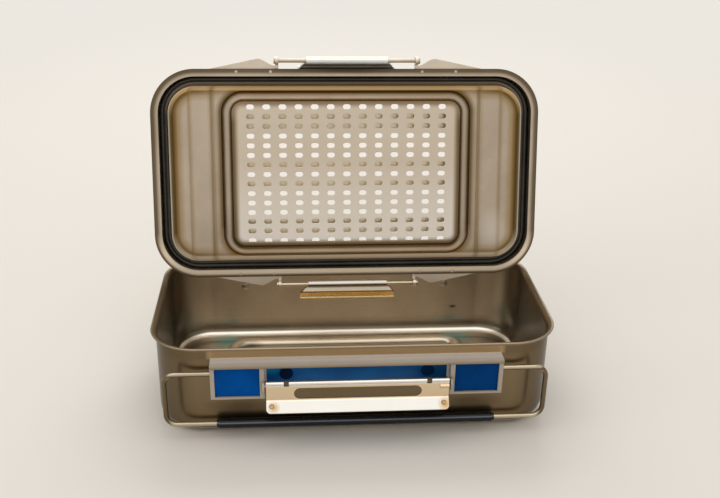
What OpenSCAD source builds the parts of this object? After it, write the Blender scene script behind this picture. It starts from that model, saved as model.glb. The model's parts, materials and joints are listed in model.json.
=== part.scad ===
// Instrument tray: a shallow drawn container with a perforated lid parked on its rear corners.
// X runs along the long side, the front latch faces -Y, Z is up and the floor rests on Z = 0.

/* [Tray] */
// length over the turned out rim
rim_length = 286; // [200:1:400]
// depth over the turned out rim
rim_depth = 148; // [110:1:240]
// height from the rest face to the top of the rim
tray_height = 71.5; // [64:0.5:120]
// outer corner radius of the rim
rim_radius = 34; // [26:0.5:44]
// outer bend radius of the turned out rim
rim_flare = 2.9; // [2.4:0.1:3.4]
// outer radius between floor and wall
floor_fillet = 12; // [8:0.5:18]
// thickness of the tray and lid sheet
sheet = 1.2; // [1:0.1:1.8]
// distance from the end wall to the floor bead loop
floor_bead_inset_x = 47.5; // [35:0.5:70]
// distance from the long wall to the floor bead loop
floor_bead_inset_y = 16; // [15.5:0.5:35]

/* [Beads] */
// corner radius of a bead loop
bead_loop_radius = 13; // [10:0.5:18]
// outer radius of a pressed bead
bead_radius = 5.3; // [4.5:0.1:6]
// distance of the bead centre behind the sheet face
bead_sink = 1.3; // [1:0.1:2]

/* [Bracket] */
// distance from the bracket end to the start of the wall corner
bracket_inset = 9; // [4:0.5:20]
// sheet thickness of the bracket
bracket_sheet = 1.5; // [1.2:0.1:2]
// distance of the bracket top below the rim
bracket_drop = 8.6; // [7:0.1:16]
// height of the bracket
bracket_height = 27; // [25:0.1:28]
// how far the top cap stands out from the wall
cap_reach = 10.4; // [9.5:0.1:11]
// radius of the rolled cap edge
cap_roll = 1.4; // [1.2:0.1:2]
// how far the tag channels stand out from the wall
channel_reach = 10; // [9.6:0.1:10.4]
// length of a tag channel from the bracket end to the latch bay
channel_length = 36.5; // [30:0.5:42]
// width of an inner channel lip
inner_lip = 3.2; // [2.5:0.1:4.5]
// width of an outer channel lip
outer_lip = 2.9; // [2.6:0.1:5]
// thickness of the channel lips
lip_sheet = 1.2; // [1:0.1:1.5]
// thickness of a tag
tag_sheet = 1.2; // [0.8:0.1:1.4]
// thickness of the centre plate
plate_sheet = 1; // [0.8:0.1:1.2]
// margin of the centre plate inside the bay
plate_margin = 1.5; // [1:0.1:3]
// height of the centre plate
plate_height = 15; // [12:0.5:17]
// head radius of a plate stud
plate_stud_head = 4.6; // [3:0.1:5]
// shank radius of a plate stud
plate_stud = 1.5; // [1.2:0.1:2]
// distance of the plate studs below the top of the plate
plate_stud_drop = 8.9; // [7:0.1:9.5]
// shank radius of a bracket rivet
rivet_radius = 1.6; // [1.2:0.1:2]
// head radius of a bracket rivet
rivet_head = 3; // [2.4:0.1:3.4]
// height of a rivet head
rivet_rise = 0.8; // [0.5:0.1:1]
// distance of the bracket rivets below the bracket top
rivet_drop = 17; // [15:0.5:19]

/* [Handle] */
// radius of the handle wire
wire_radius = 1.75; // [1.5:0.05:2.2]
// distance of the handle legs inside the end walls
handle_inset = 7.8; // [5:0.1:16]
// centre radius of the handle bends
handle_bend = 8; // [6:0.5:10]
// pivot distance from the wall
pivot_reach = 4.5; // [4.2:0.1:4.8]
// distance of the pivot below the bracket top
pivot_drop = 9.8; // [5:0.1:11]
// distance from a handle leg to the grip end
grip_inset = 34.5; // [20:0.5:60]
// radius of the grip
grip_radius = 3.6; // [3:0.1:4.5]
// rounding at the grip ends
grip_round = 1; // [0.5:0.1:1.3]

/* [Latch lever] */
// lever pivot distance from the wall
lever_reach = 9.5; // [9:0.1:10]
// distance of the lever pivot below the bracket top
lever_drop = 17.5; // [16:0.1:19]
// gap between a lever end and the bracket cheek
lever_gap = 1.1; // [0.6:0.1:2]
// sheet thickness of the lever
lever_sheet = 1.2; // [1:0.1:1.4]
// distance of the lever face from its pivot
lever_face = 4.4; // [4:0.1:5]
// lever edge above its pivot
lever_rise = 5.5; // [5:0.1:6]
// bend of the lever below its pivot
lever_bend = 8.9; // [8:0.1:9.5]
// length of the flared finger lip
lever_flare = 9.7; // [8:0.1:10]
// slope of the flared finger lip
flare_angle = 45; // [35:1:55]
// radius of the rolled top edge of the lever
edge_roll = 1.4; // [1:0.1:1.6]
// how far the rolled top edge stands out from the lever face
edge_stand = 0.5; // [0:0.1:0.8]
// distance from a lever end to the slot
slot_inset = 18.8; // [15:0.1:24]
// slot top edge above the pivot
slot_rise = 0.7; // [0.2:0.1:1.2]
// slot low edge below the pivot
slot_drop = 7.8; // [6.6:0.1:8]
// distance from a lever end to its notch
notch_inset = 12; // [8:0.1:15]
// width of a notch
notch_width = 3.4; // [2:0.1:5]
// depth of a notch below the lever edge
notch_depth = 3.4; // [3:0.1:4]
// rounding at the corners of the finger lip
lip_round = 3; // [1:0.1:4]
// radius of the dimples in the finger lip
dimple_radius = 2; // [1.4:0.1:2.2]
// distance from a lever end to the dimple
dimple_inset = 3.6; // [3:0.1:6]
// radius of the stop bead at the right end of the lever
stop_radius = 1.5; // [1.2:0.1:1.8]
// length of the stop bead
stop_length = 6.3; // [4:0.1:8]
// outer radius of the lever ears
ear_radius = 3.4; // [3:0.1:3.8]
// radius of the lever pins
lever_pin = 1.6; // [1.3:0.1:1.8]
// head radius of the lever pins
lever_pin_head = 2.6; // [2.2:0.1:3]

/* [Lid] */
// lid edge beyond the rim all round
lid_overhang = 6.5; // [5.5:0.1:8]
// overall height of the lid edge
lid_height = 12.5; // [10:0.1:13]
// height of the panel face above the flange face
panel_rise = 1.5; // [1:0.1:3]
// distance from the end step to the bead loop
lid_bead_inset_x = 44.2; // [36:0.1:60]
// distance from the long step to the bead loop
lid_bead_inset_y = 7.5; // [6.5:0.1:16]
// pitch of the perforations along the length
hole_pitch_x = 12.36; // [8:0.01:20]
// pitch of the perforations along the depth
hole_pitch_y = 7.4; // [5:0.01:12]
// length of a perforation
hole_length = 6; // [4.5:0.1:7]
// width of a perforation
hole_width = 3.8; // [2:0.1:4.2]
// distance from the end step to the deep panel groove
deep_groove_inset = 33.3; // [28:0.1:36]
// distance from the end step to the faint panel groove
faint_groove_inset = 16.3; // [10:0.1:20]
// distance from the long step to the groove ends
groove_end_inset = 3; // [2.5:0.5:20]
// radius of the rounded bottom of the panel grooves
groove_radius = 2.2; // [1.5:0.1:3]
// depth of the deep panel grooves
groove_depth = 0.7; // [0.3:0.05:0.8]
// width of the gasket
gasket_width = 6; // [5:0.1:6.4]
// thickness of the gasket
gasket_depth = 3.5; // [3:0.1:4]
// distance of the gasket line inside the lid edge
gasket_inset = 8.85; // [8:0.05:10]
// space between the gasket and the panel step
gasket_space = 1.15; // [0.5:0.05:2]

/* [Vent guard] */
// how far the guard reaches past the crest of the bead loop
guard_lap = 0.8; // [0:0.1:2]
// space between the bead loop and the guard
guard_space = 1.5; // [0.5:0.1:3]
// width of the guard frame at the ends
guard_frame_x = 15; // [14:0.5:24]
// width of the guard frame at the long sides
guard_frame_y = 6.8; // [5:0.1:12]
// radius of the guard studs
stud_radius = 2.4; // [1.8:0.1:2.6]
// distance from the guard end to the studs
stud_inset_x = 10.5; // [9.5:0.1:12]
// distance from the long guard edge to the outer studs
stud_inset_y = 12.8; // [10:0.1:20]

/* [Keeper] */
// distance of the keeper pin in front of the lever face when the lid is on
pin_space = 2.1; // [1.9:0.1:3]
// keeper pin distance below the flange face
pin_drop = 3.4; // [3:0.1:3.6]
// radius of the keeper pin
pin_radius = 1.5; // [1.2:0.1:1.7]
// radius of the keeper pin heads
pin_head = 2.3; // [2:0.1:2.8]
// thickness of a keeper pin head
pin_head_rise = 1.2; // [0.8:0.1:1.5]
// distance of the lugs inside the lever ends
lug_inset = 10.4; // [6:0.1:14]
// thickness of a lug
lug_sheet = 2.4; // [1.8:0.1:2.6]
// outer radius of the knuckle and lugs
knuckle_radius = 2.9; // [2.6:0.1:3.2]
// how much shorter the knuckle is than the hook at each end
knuckle_inset = 6.5; // [3:0.5:10]
// space between the hook and the slot ends
hook_inset = 6.1; // [5:0.1:10]
// overlap of the hook with the slot edge when the lid is on
hook_catch = 0.6; // [0.4:0.1:2]
// thickness of the keeper plate
keeper_sheet = 1.4; // [1.1:0.1:1.6]
// outer radius of the keeper hook
hook_radius = 2.3; // [2:0.1:2.6]
// height of the turned up hook lip
hook_lip = 3.6; // [3:0.1:4.5]
// thickness of the keeper bracket
wing_sheet = 1.2; // [1:0.1:1.5]
// length of a wing beyond its lug
wing_length = 50; // [30:0.1:52]
// distance from the lug to the peak of a wing
wing_peak = 13.6; // [8:0.1:20]
// how far a wing stands out from the lid edge
wing_reach = 7.6; // [6:0.1:8.5]
// how far a wing stands out beside its lug
wing_root = 2.3; // [1:0.1:4]
// shank radius of the lid rivets
lid_rivet = 1.1; // [0.8:0.1:1.2]
// head radius of the lid rivets
lid_rivet_head = 1.9; // [1.5:0.1:2]
// distance from the lug to the near lid rivet
near_rivet = 3.6; // [2:0.1:6]
// distance from the lug to the far lid rivet
far_rivet = 29.6; // [20:0.1:40]

/* [Parked lid] */
// lean of the lid from upright
lean = 14; // [12:0.5:16]
// how far the lower lid edge dips below the rim
dip = 5; // [3:0.1:5]
// distance of the lid face in front of the rear rim at rim height
park_inset = 27; // [27:0.1:32]
// swing of the upper keeper from hanging
upper_swing = 39; // [39:0.5:60]
// swing of the lower keeper from hanging, away from the front
lower_swing = 20; // [0:0.5:40]

/* [Fits] */
// gap of a turning fit round a pin or wire
turn_gap = 0.06; // [0.04:0.01:0.1]
// gap of a fixed pin or rivet in its hole
snug_gap = 0.03; // [0.02:0.01:0.05]
// gap of a tag in its channel and of pieces laid side by side
tag_gap = 0.2; // [0.1:0.05:0.3]
// gap between the gasket and the skirt
gasket_gap = 0.15; // [0.1:0.05:0.3]
// gap between the grip and the swinging lever
sweep_gap = 8.8; // [1:0.1:10]
// least space between a perforation and its neighbours
hole_margin = 0.5; // [0.3:0.1:2]

/* [Hidden] */
$fn = 64;
eps = 0.01;
wing_steps = 12;
wall_radius = rim_radius - rim_flare - sheet / 2;
core_x = rim_length / 2 - rim_radius;
core_y = rim_depth / 2 - rim_radius;
wall_x = core_x + wall_radius;
wall_y = core_y + wall_radius;
floor_bead_x = wall_x - floor_bead_inset_x;
floor_bead_y = wall_y - floor_bead_inset_y;

bracket_half = core_x - bracket_inset;
bracket_top = tray_height - bracket_drop;
bracket_low = bracket_top - bracket_height;
bay_half = bracket_half - channel_length;
back_face = wall_y + bracket_sheet;
channel_face = wall_y + channel_reach;
tag_front = channel_face - lip_sheet - tag_gap;
tag_back = tag_front - tag_sheet;
tag_low = bracket_low + bracket_sheet + tag_gap;
tag_high = bracket_top - bracket_sheet - tag_gap;
rivet_x = bay_half + channel_length / 2;
rivet_z = bracket_top - rivet_drop;
plate_top = bracket_top - bracket_sheet - plate_margin;
plate_low = plate_top - plate_height;
plate_stud_z = plate_top - plate_stud_drop;

lever_y = wall_y + lever_reach;
lever_height = bracket_top - lever_drop;
lever_half = bay_half - lever_gap;
lever_ear = lever_half - lever_sheet;
lever_tip = norm([lever_face - lever_sheet + lever_flare * cos(flare_angle),
    lever_bend + lever_flare * sin(flare_angle)]);
slot_half = lever_half - slot_inset;
notch_x = lever_half - notch_inset - notch_width;

pivot_y = wall_y + pivot_reach;
pivot_height = bracket_top - pivot_drop;
handle_half = wall_x - handle_inset;
lever_span = norm([lever_reach - pivot_reach, pivot_height - lever_height]) + lever_tip;
handle_drop = lever_span + sweep_gap + grip_radius;
grip_half = handle_half - grip_inset;

lid_radius = rim_radius;
lid_core_x = core_x + lid_overhang;
lid_core_y = core_y + lid_overhang;
lid_edge_y = lid_core_y + lid_radius;
gasket_centre = lid_radius - gasket_inset;
channel_out = gasket_centre + gasket_width / 2 + gasket_gap;
channel_in = gasket_centre - gasket_width / 2 - gasket_space;
channel_width = channel_out - channel_in;
flange_width = lid_radius - channel_out;
panel_x = lid_core_x + channel_in;
panel_y = lid_core_y + channel_in;
lid_bead_x = panel_x - lid_bead_inset_x;
lid_bead_y = panel_y - lid_bead_inset_y;
bead_half = sqrt(bead_radius * bead_radius - bead_sink * bead_sink);
groove_half = panel_y - groove_end_inset;
hole_gap = hole_length - hole_width;

guard_half_x = lid_bead_x + guard_lap;
guard_half_y = lid_bead_y + guard_lap;
guard_gap = bead_radius - bead_sink + guard_space;
stud_x = guard_half_x - stud_inset_x;
stud_y = guard_half_y - stud_inset_y;
side_columns = floor((stud_x - stud_radius - hole_margin - hole_length / 2) / hole_pitch_x);
side_rows = floor((lid_bead_y - bead_half - hole_margin - hole_width / 2) / hole_pitch_y);
guard_slot_rows = [[-0.5, 0.5], [1.5, 4.5], [-4.5, -1.5], [6.5, 7.5], [-7.5, -6.5]];

pin_y = lever_y + lever_face + pin_space;
pin_reach = pin_y - lid_edge_y;
lug_x = lever_half - lug_inset;
lug_end = lug_x + lug_sheet;
hook_half = slot_half - hook_inset;
knuckle_half = hook_half - knuckle_inset;
closed_flange = tray_height - (lid_height - sheet - gasket_depth);
keeper_length = closed_flange - pin_drop - lever_height - slot_rise + hook_catch;
lid_rivet_y = lid_edge_y - (flange_width - sheet) / 2;
lid_rivet_x = [lug_end + near_rivet, lug_end + far_rivet];

park_y = rim_depth / 2 - park_inset - dip * tan(lean) + lid_edge_y * sin(lean);
park_z = tray_height - dip + lid_edge_y * cos(lean);
satin = [0.66, 0.62, 0.55];
polished = [0.84, 0.84, 0.82];
cap_grey = [0.76, 0.77, 0.77];
tag_blue = [0.08, 0.22, 0.62];
rubber_black = [0.05, 0.05, 0.05];
stud_blue = [0.03, 0.06, 0.16];

// a section carried round a rounded rectangle, measured outward from its corner centres
module ring_sweep(core_a, core_b) {
    for (turn = [0, 180])
        rotate([0, 0, turn]) {
            translate([-core_a, core_b, 0])
                rotate([90, 0, 90])
                    linear_extrude(2 * core_a) children();
            translate([core_a, core_b, 0])
                rotate([90, 0, 0])
                    linear_extrude(2 * core_b) children();
            translate([core_a, core_b, 0])
                rotate_extrude(angle = 90) children();
            translate([core_a, -core_b, 0])
                rotate([0, 0, -90])
                    rotate_extrude(angle = 90) children();
        }
}

module rounded_sheet(core_a, core_b, radius) {
    square([2 * (core_a + radius), 2 * core_b], center = true);
    square([2 * core_a, 2 * (core_b + radius)], center = true);
    for (side_x = [-1, 1])
        for (side_y = [-1, 1])
            translate([side_x * core_a, side_y * core_b]) circle(radius);
}

module quarter_band(radius, band) {
    intersection() {
        difference() {
            circle(radius);
            circle(radius - band);
        }
        square(radius);
    }
}

// raised side of a pressed bead over a sheet face at height zero
module bead_ridge() {
    intersection() {
        translate([bead_loop_radius, -bead_sink]) circle(bead_radius);
        translate([0, -sheet]) square([2 * bead_loop_radius, bead_radius + sheet]);
    }
}

module bead_groove() {
    translate([bead_loop_radius, -bead_sink]) circle(bead_radius - sheet);
}

module tray_section() {
    translate([wall_radius - floor_fillet, floor_fillet])
        mirror([0, 1]) quarter_band(floor_fillet, sheet);
    translate([wall_radius - sheet, floor_fillet])
        square([sheet, tray_height - rim_flare - sheet - floor_fillet]);
    translate([wall_radius + rim_flare, tray_height - rim_flare - sheet])
        mirror([1, 0]) quarter_band(rim_flare + sheet, sheet);
    translate([wall_radius + rim_flare, tray_height - sheet / 2]) circle(sheet / 2);
}

module at_rear() {
    rotate([0, 0, 180]) children();
}

module along_y(radius, from, to) {
    translate([0, -from, 0])
        rotate([90, 0, 0]) cylinder(r = radius, h = to - from);
}

module along_x(radius, from, to) {
    translate([from, 0, 0])
        rotate([0, 90, 0]) cylinder(r = radius, h = to - from);
}

module both_ends() {
    children();
    mirror([1, 0, 0]) children();
}

module rivet_holes(radius) {
    both_ends()
        translate([rivet_x, 0, rivet_z]) along_y(radius, wall_y - 2 * sheet, back_face + sheet);
}

module tray_shell() {
    color(satin)
    difference() {
        union() {
            ring_sweep(core_x, core_y) tray_section();
            linear_extrude(sheet) rounded_sheet(core_x, core_y, wall_radius - floor_fillet);
            translate([0, 0, sheet])
                ring_sweep(floor_bead_x - bead_loop_radius, floor_bead_y - bead_loop_radius) bead_ridge();
        }
        translate([0, 0, sheet])
            ring_sweep(floor_bead_x - bead_loop_radius, floor_bead_y - bead_loop_radius) bead_groove();
        rivet_holes(rivet_radius + snug_gap);
        at_rear() rivet_holes(rivet_radius + snug_gap);
    }
}

// a box given by its outward distances from the wall side of the front hardware
module front_box(from_x, to_x, from_out, to_out, low, high) {
    translate([from_x, -to_out, low]) cube([to_x - from_x, to_out - from_out, high - low]);
}

module bracket_end() {
    cheek_radius = ear_radius + lever_pin;
    difference() {
        union() {
            front_box(bay_half, bay_half + bracket_sheet, wall_y, channel_face, bracket_low, bracket_top);
            front_box(bay_half, bay_half + bracket_sheet, wall_y, lever_y,
                lever_height - cheek_radius, lever_height + cheek_radius);
            translate([0, -lever_y, lever_height])
                along_x(cheek_radius, bay_half, bay_half + bracket_sheet);
            front_box(bracket_half - bracket_sheet, bracket_half, wall_y, channel_face,
                bracket_low, bracket_top);
            front_box(bay_half, bay_half + inner_lip, channel_face - lip_sheet, channel_face,
                bracket_low, bracket_top);
            front_box(bracket_half - outer_lip, bracket_half, channel_face - lip_sheet, channel_face,
                bracket_low, bracket_top);
            front_box(bay_half, bracket_half, wall_y, channel_face, bracket_low, bracket_low + bracket_sheet);
        }
        translate([0, -pivot_y, pivot_height])
            along_x(wire_radius + turn_gap, bay_half - eps, bracket_half + eps);
        translate([0, -lever_y, lever_height])
            along_x(lever_pin + snug_gap, bay_half - eps, bay_half + bracket_sheet + eps);
    }
}

module plate_stud_places() {
    both_ends()
        translate([notch_x + notch_width / 2, 0, plate_stud_z]) children();
}

module bracket() {
    difference() {
        union() {
            front_box(-bracket_half, bracket_half, wall_y, back_face, bracket_low, bracket_top);
            front_box(-bracket_half, bracket_half, wall_y, wall_y + cap_reach,
                bracket_top - bracket_sheet, bracket_top);
            translate([0, -wall_y - cap_reach, bracket_top - cap_roll])
                along_x(cap_roll, -bracket_half, bracket_half);
            both_ends() bracket_end();
        }
        rivet_holes(rivet_radius + snug_gap);
        front_box(-bay_half, bay_half, wall_y - eps, back_face + eps, bracket_low - eps, plate_low);
        plate_stud_places() along_y(plate_stud + snug_gap, wall_y - eps, back_face + eps);
    }
}

module front_bracket() {
    color(cap_grey) bracket();
}

module rear_bracket() {
    color(cap_grey) at_rear() bracket();
}

module tag() {
    front_box(bay_half + bracket_sheet + tag_gap, bracket_half - bracket_sheet - tag_gap,
        tag_back, tag_front, tag_low, tag_high);
}

module front_right_tag() {
    color(tag_blue) tag();
}

module front_left_tag() {
    color(tag_blue) mirror([1, 0, 0]) tag();
}

module rear_left_tag() {
    color(tag_blue) at_rear() tag();
}

module rear_right_tag() {
    color(tag_blue) at_rear() mirror([1, 0, 0]) tag();
}

module centre_plate() {
    difference() {
        front_box(-bay_half + plate_margin, bay_half - plate_margin, back_face, back_face + plate_sheet,
            plate_low, plate_top);
        plate_stud_places() along_y(plate_stud + snug_gap, back_face - eps, back_face + plate_sheet + eps);
    }
}

module front_centre_plate() {
    color(tag_blue) centre_plate();
}

module rear_centre_plate() {
    color(tag_blue) at_rear() centre_plate();
}

// studs with a round head that pin the centre plate to the bracket
module plate_studs() {
    plate_stud_places() {
        along_y(plate_stud, wall_y + tag_gap, back_face + plate_sheet + rivet_rise);
        along_y(plate_stud_head, back_face + plate_sheet, back_face + plate_sheet + rivet_rise);
    }
}

module front_plate_studs() {
    color(stud_blue) plate_studs();
}

module rear_plate_studs() {
    color(stud_blue) at_rear() plate_studs();
}

module rivets() {
    both_ends()
        translate([rivet_x, 0, rivet_z]) {
            along_y(rivet_radius, wall_y - sheet - rivet_rise, back_face + rivet_rise);
            along_y(rivet_head, wall_y - sheet - rivet_rise, wall_y - sheet);
            along_y(rivet_head, back_face, back_face + rivet_rise);
        }
}

module front_rivets() {
    color(polished) rivets();
}

module rear_rivets() {
    color(polished) at_rear() rivets();
}

module lever_pins() {
    both_ends()
        translate([0, -lever_y, lever_height]) {
            along_x(lever_pin, lever_ear - lever_sheet - tag_gap, bay_half + bracket_sheet);
            along_x(lever_pin_head, lever_ear - lever_sheet - tag_gap, lever_ear - tag_gap);
        }
}

module front_lever_pins() {
    color(polished) lever_pins();
}

module rear_lever_pins() {
    color(polished) at_rear() lever_pins();
}

module lever_section() {
    translate([lever_face - lever_sheet, -lever_bend])
        square([lever_sheet, lever_bend + lever_rise - edge_roll]);
    translate([lever_face + edge_stand - edge_roll, lever_rise - edge_roll]) circle(edge_roll);
    translate([lever_face - lever_sheet / 2, -lever_bend]) circle(lever_sheet / 2);
}

module lever_ear_section() {
    circle(ear_radius);
    translate([0, -lever_bend]) square([lever_face - lever_sheet / 2, lever_bend]);
    translate([0, -ear_radius]) square([lever_face - lever_sheet / 2, 2 * ear_radius]);
}

// the flared finger lip with rounded corners and a dimple at each end
module lever_lip() {
    lip_half = lever_half - lip_round;
    dimple_x = lever_half - dimple_inset;
    translate([0, lever_sheet - lever_face, -lever_bend])
        rotate([180 + flare_angle, 0, 0])
            difference() {
                translate([0, 0, -lever_sheet])
                    linear_extrude(lever_sheet) {
                        translate([-lever_half, 0]) square([2 * lever_half, lever_flare - lip_round]);
                        translate([-lip_half, 0]) square([2 * lip_half, lever_flare]);
                        for (side = [-1, 1])
                            translate([side * lip_half, lever_flare - lip_round]) circle(lip_round);
                    }
                for (side = [-1, 1])
                    translate([side * dimple_x, lever_flare / 2, -lever_sheet - dimple_radius / 2])
                        sphere(dimple_radius);
            }
}

// a section drawn as outward distance and height, carried along X
module out_extrude(from_x, to_x) {
    translate([from_x, 0, 0])
        rotate([90, 0, 90])
            linear_extrude(to_x - from_x)
                mirror([1, 0]) children();
}

module lever() {
    slot_high = slot_rise + slot_drop;
    translate([0, -lever_y, lever_height])
    difference() {
        union() {
            out_extrude(-lever_half, lever_half) lever_section();
            lever_lip();
            translate([0, -lever_face, 0]) along_x(stop_radius, lever_half - stop_length, lever_half);
            both_ends()
                out_extrude(lever_ear, lever_half) lever_ear_section();
        }
        both_ends()
            along_x(lever_pin + turn_gap, lever_ear - eps, lever_half + eps);
        translate([0, 0, slot_rise - slot_high / 2])
            rotate([90, 0, 0])
                linear_extrude(lever_face + lever_sheet) {
                    square([2 * slot_half - slot_high, slot_high], center = true);
                    both_ends()
                        translate([slot_half - slot_high / 2, 0]) circle(slot_high / 2);
                }
        both_ends()
            translate([notch_x, -lever_face - sheet, lever_rise - notch_depth])
                cube([notch_width, lever_face + sheet, notch_depth + eps]);
    }
}

module front_lever() {
    color(polished) lever();
}

module rear_lever() {
    color(polished) at_rear() lever();
}

module handle_corner(low) {
    translate([handle_half - handle_bend, 0, low])
        rotate([90, low < -handle_bend ? 90 : 0, 0])
            rotate_extrude(angle = 90)
                translate([handle_bend, 0]) circle(wire_radius);
}

module handle_wire() {
    translate([0, -pivot_y, pivot_height]) {
        both_ends() {
            along_x(wire_radius, bay_half + bracket_sheet / 2, handle_half - handle_bend);
            handle_corner(-handle_bend);
            translate([handle_half, 0, handle_bend - handle_drop])
                cylinder(r = wire_radius, h = handle_drop - 2 * handle_bend);
            handle_corner(handle_bend - handle_drop);
        }
        translate([0, 0, -handle_drop])
            along_x(wire_radius, handle_bend - handle_half, handle_half - handle_bend);
    }
}

module front_handle_wire() {
    color(polished) handle_wire();
}

module rear_handle_wire() {
    color(polished) at_rear() handle_wire();
}

module grip_section() {
    difference() {
        union() {
            translate([-grip_half + grip_round, 0])
                square([2 * (grip_half - grip_round), grip_radius]);
            translate([-grip_half, 0])
                square([2 * grip_half, grip_radius - grip_round]);
            for (side = [-1, 1])
                translate([side * (grip_half - grip_round), grip_radius - grip_round]) circle(grip_round);
        }
        translate([-grip_half - eps, -eps])
            square([2 * (grip_half + eps), wire_radius + snug_gap + eps]);
    }
}

module handle_grip() {
    translate([0, -pivot_y, pivot_height - handle_drop])
        rotate([0, 90, 0])
            rotate_extrude()
                rotate(90) mirror([0, 1]) grip_section();
}

module front_handle_grip() {
    color(rubber_black) handle_grip();
}

module rear_handle_grip() {
    color(rubber_black) at_rear() handle_grip();
}

module parked() {
    translate([0, park_y, park_z])
        rotate([-90 - lean, 0, 0]) children();
}

module lid_section() {
    translate([channel_out, 0]) square([flange_width, sheet]);
    translate([channel_out, 0]) square([sheet, lid_height - 2 * sheet]);
    translate([channel_out - sheet, lid_height - 2 * sheet]) quarter_band(2 * sheet, sheet);
    translate([channel_in - sheet, lid_height - sheet])
        square([channel_width, sheet]);
    translate([channel_in - sheet, panel_rise])
        square([sheet, lid_height - panel_rise]);
}

module perforations() {
    for (column = [-side_columns : side_columns])
        for (row = [-side_rows : side_rows])
            translate([column * hole_pitch_x, row * hole_pitch_y]) {
                square([hole_gap, hole_width], center = true);
                translate([-hole_gap / 2, 0]) circle(hole_width / 2);
                translate([hole_gap / 2, 0]) circle(hole_width / 2);
            }
}

module panel_groove(x, depth) {
    translate([x, -groove_half, panel_rise - groove_radius + depth])
        rotate([-90, 0, 0]) cylinder(r = groove_radius, h = 2 * groove_half);
}

module lid_rivet_places() {
    for (x = lid_rivet_x)
        both_ends()
            translate([x, -lid_rivet_y, 0]) children();
}

module lid_rivet_holes() {
    translate([0, 0, -eps])
        lid_rivet_places() cylinder(r = lid_rivet + snug_gap, h = sheet + wing_sheet + 2 * eps);
}

module lid_panel() {
    loop_x = lid_bead_x - bead_loop_radius;
    loop_y = lid_bead_y - bead_loop_radius;
    color(satin) parked()
    difference() {
        union() {
            ring_sweep(lid_core_x, lid_core_y) lid_section();
            translate([0, 0, panel_rise])
                linear_extrude(sheet)
                    difference() {
                        rounded_sheet(lid_core_x, lid_core_y, channel_in);
                        perforations();
                    }
            translate([0, 0, panel_rise + sheet]) ring_sweep(loop_x, loop_y) bead_ridge();
        }
        translate([0, 0, panel_rise + sheet]) ring_sweep(loop_x, loop_y) bead_groove();
        both_ends() {
            panel_groove(panel_x - deep_groove_inset, groove_depth);
            panel_groove(panel_x - faint_groove_inset, groove_depth / 2);
        }
        lid_rivet_holes();
        at_rear() lid_rivet_holes();
    }
}

module gasket_section() {
    translate([gasket_centre, lid_height - sheet - gasket_depth / 2]) {
        square([gasket_width - gasket_depth, gasket_depth], center = true);
        translate([(gasket_width - gasket_depth) / 2, 0]) circle(gasket_depth / 2);
        translate([-(gasket_width - gasket_depth) / 2, 0]) circle(gasket_depth / 2);
    }
}

module lid_gasket() {
    color(rubber_black) parked()
        ring_sweep(lid_core_x, lid_core_y) gasket_section();
}

module lug_section() {
    translate([pin_y, -pin_drop]) circle(knuckle_radius);
    translate([pin_y - knuckle_radius, -pin_drop])
        square([2 * knuckle_radius, pin_drop + sheet + wing_sheet]);
    translate([lid_edge_y + tag_gap, 0])
        square([pin_reach - tag_gap, sheet + wing_sheet]);
}

// outline of a wing beside its lug, swelling to the peak and running straight out to the wing end
function swell(share) = (1 - cos(180 * share)) / 2;

function wing_points() = concat([[0, 0], [0, wing_root]],
    [for (step = [0 : wing_steps]) [lug_sheet + wing_peak * step / wing_steps,
        wing_root + (wing_reach - wing_root) * swell(step / wing_steps)]],
    [[lug_sheet + wing_length, 0]]);

module keeper_bracket() {
    wing_end = lug_end + wing_length;
    difference() {
        union() {
            translate([0, 0, sheet])
                linear_extrude(wing_sheet) {
                    translate([-wing_end, -lid_edge_y])
                        square([2 * wing_end, flange_width - sheet - tag_gap]);
                    both_ends()
                        translate([lug_x, -lid_edge_y]) mirror([0, 1]) polygon(wing_points());
                }
            both_ends()
                out_extrude(lug_x, lug_x + lug_sheet) lug_section();
        }
        translate([0, -pin_y, -pin_drop])
            along_x(pin_radius + snug_gap, -lug_x - 2 * lug_sheet, lug_x + 2 * lug_sheet);
        lid_rivet_holes();
    }
}

module front_keeper_bracket() {
    color(satin) parked() keeper_bracket();
}

module rear_keeper_bracket() {
    color(satin) parked() at_rear() keeper_bracket();
}

module lid_rivets() {
    color(polished) parked()
    for (turn = [0, 180])
        rotate([0, 0, turn])
            lid_rivet_places() {
                cylinder(r = lid_rivet, h = sheet + wing_sheet + rivet_rise);
                translate([0, 0, sheet + wing_sheet]) cylinder(r = lid_rivet_head, h = rivet_rise);
            }
}

module keeper_pin() {
    translate([0, -pin_y, -pin_drop]) {
        along_x(pin_radius, -lug_x - lug_sheet, lug_x + lug_sheet);
        both_ends()
            along_x(pin_head, lug_x + lug_sheet, lug_x + lug_sheet + pin_head_rise);
    }
}

module front_keeper_pin() {
    color(polished) parked() keeper_pin();
}

module rear_keeper_pin() {
    color(polished) parked() at_rear() keeper_pin();
}

module guard_stud_places() {
    for (side_x = [-1, 1])
        for (y = [-stud_y, 0, stud_y])
            translate([side_x * stud_x, y]) children();
}

module vent_guard() {
    color(satin) parked()
    translate([0, 0, panel_rise + sheet + guard_gap])
        linear_extrude(sheet)
            difference() {
                rounded_sheet(guard_half_x - bead_radius, guard_half_y - bead_radius, bead_radius);
                intersection() {
                    square([2 * guard_half_x - 2 * guard_frame_x, 2 * guard_half_y - 2 * guard_frame_y],
                        center = true);
                    for (rows = guard_slot_rows)
                        translate([-guard_half_x, rows[0] * hole_pitch_y])
                            square([2 * guard_half_x, (rows[1] - rows[0]) * hole_pitch_y]);
                }
                guard_stud_places() circle(stud_radius / 2 + snug_gap);
            }
}

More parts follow.
